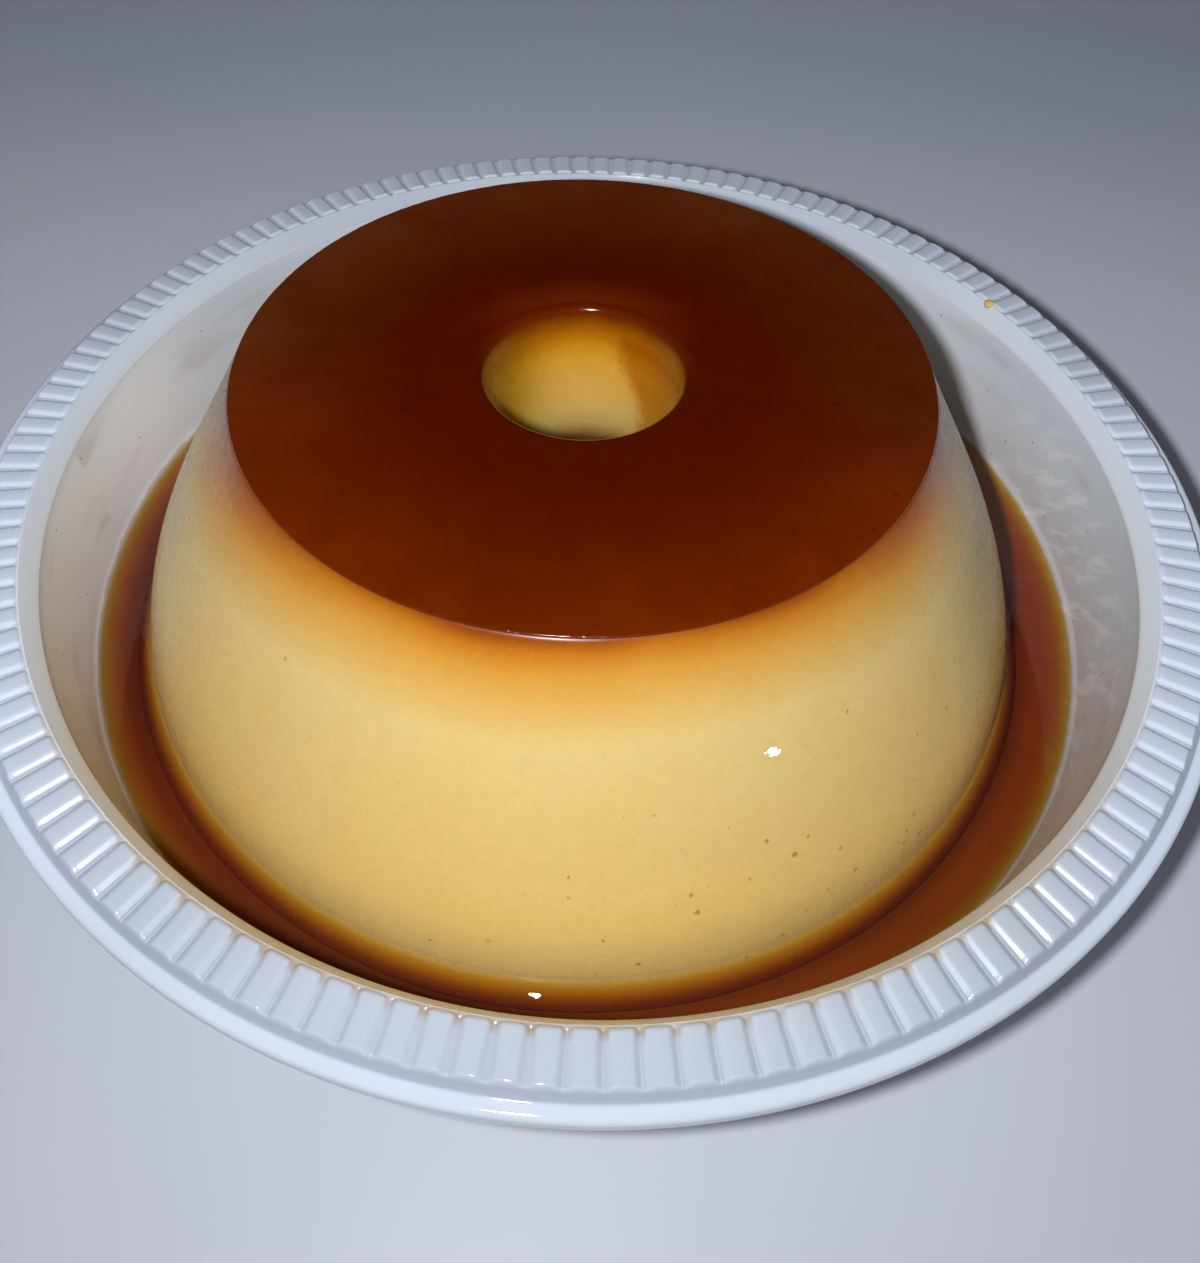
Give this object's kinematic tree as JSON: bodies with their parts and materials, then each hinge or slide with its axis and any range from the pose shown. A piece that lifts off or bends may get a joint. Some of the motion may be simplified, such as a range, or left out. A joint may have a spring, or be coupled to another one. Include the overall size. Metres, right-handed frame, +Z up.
{
  "type": "caramel pudding",
  "caption": "Ring-shaped custard pudding with a dark caramel top, turned out into a round white deep dish with a ribbed rim and caramel sauce round its foot.",
  "frame": {"origin": "middle of the flat underside of the dish, on the surface that the dish stands on", "axes": "+Z up along the axis of the dish; the front of the dish faces -Y; the pudding stands a little towards -X"},
  "size_m": [0.2714, 0.2714, 0.0752],
  "materials": {
    "dish_plastic": "glossy white moulded plastic",
    "custard": "moist baked custard with a soft sheen",
    "caramel_glaze": "dark wet caramel",
    "caramel_sauce": "clear dark caramel syrup"
  },
  "bodies": {
    "root": {"dish": "dish_plastic", "custard": "custard", "caramel_top": "caramel_glaze", "sauce_pool": "caramel_sauce", "sauce_hole": "caramel_sauce"}
  },
  "joints": []
}
